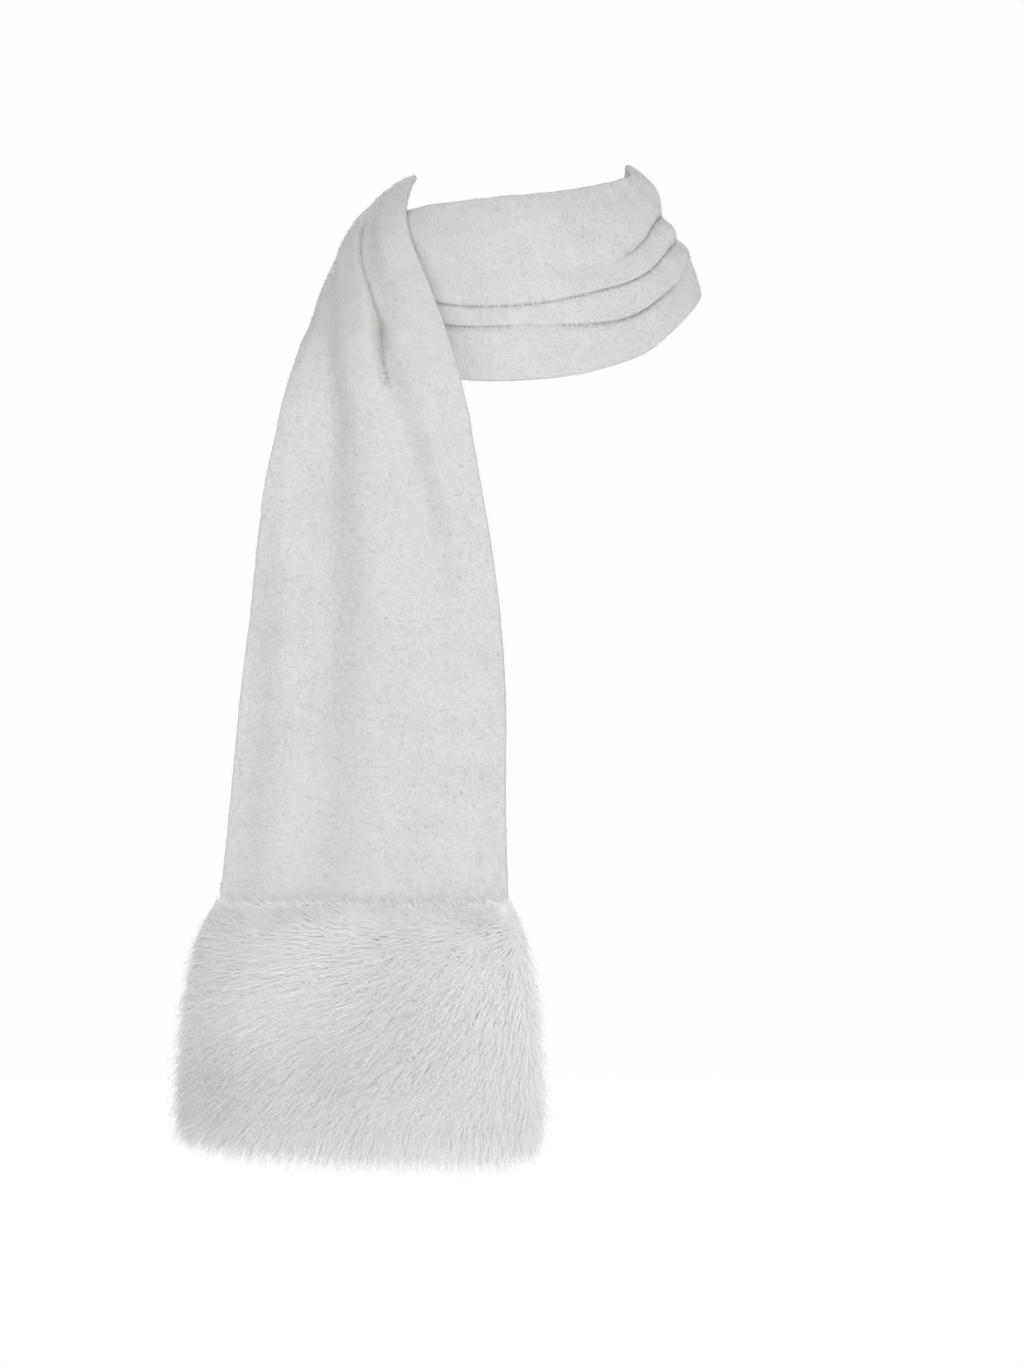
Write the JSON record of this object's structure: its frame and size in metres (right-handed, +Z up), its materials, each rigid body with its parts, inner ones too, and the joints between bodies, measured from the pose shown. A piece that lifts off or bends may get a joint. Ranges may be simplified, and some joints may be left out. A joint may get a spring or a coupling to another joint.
{
  "type": "scarf",
  "caption": "Brushed knit scarf with a long-pile cuff on each end, wound once round an absent neck, one end hanging in front and one behind.",
  "frame": {"origin": "the middle of the neck opening, where the wearer's neck holds the scarf", "axes": "+Z up along the neck, +Y to the wearer's back, +X to the right of the picture"},
  "size_m": [0.3066, 0.2639, 0.5921],
  "materials": {
    "brushed_knit": "matte brushed nap",
    "long_pile": "soft long pile"
  },
  "bodies": {
    "root": {"front_end": "brushed_knit", "nape_wrap": "brushed_knit", "throat_wrap": "brushed_knit", "back_end": "brushed_knit", "front_cuff": "long_pile", "back_cuff": "long_pile"}
  },
  "joints": []
}
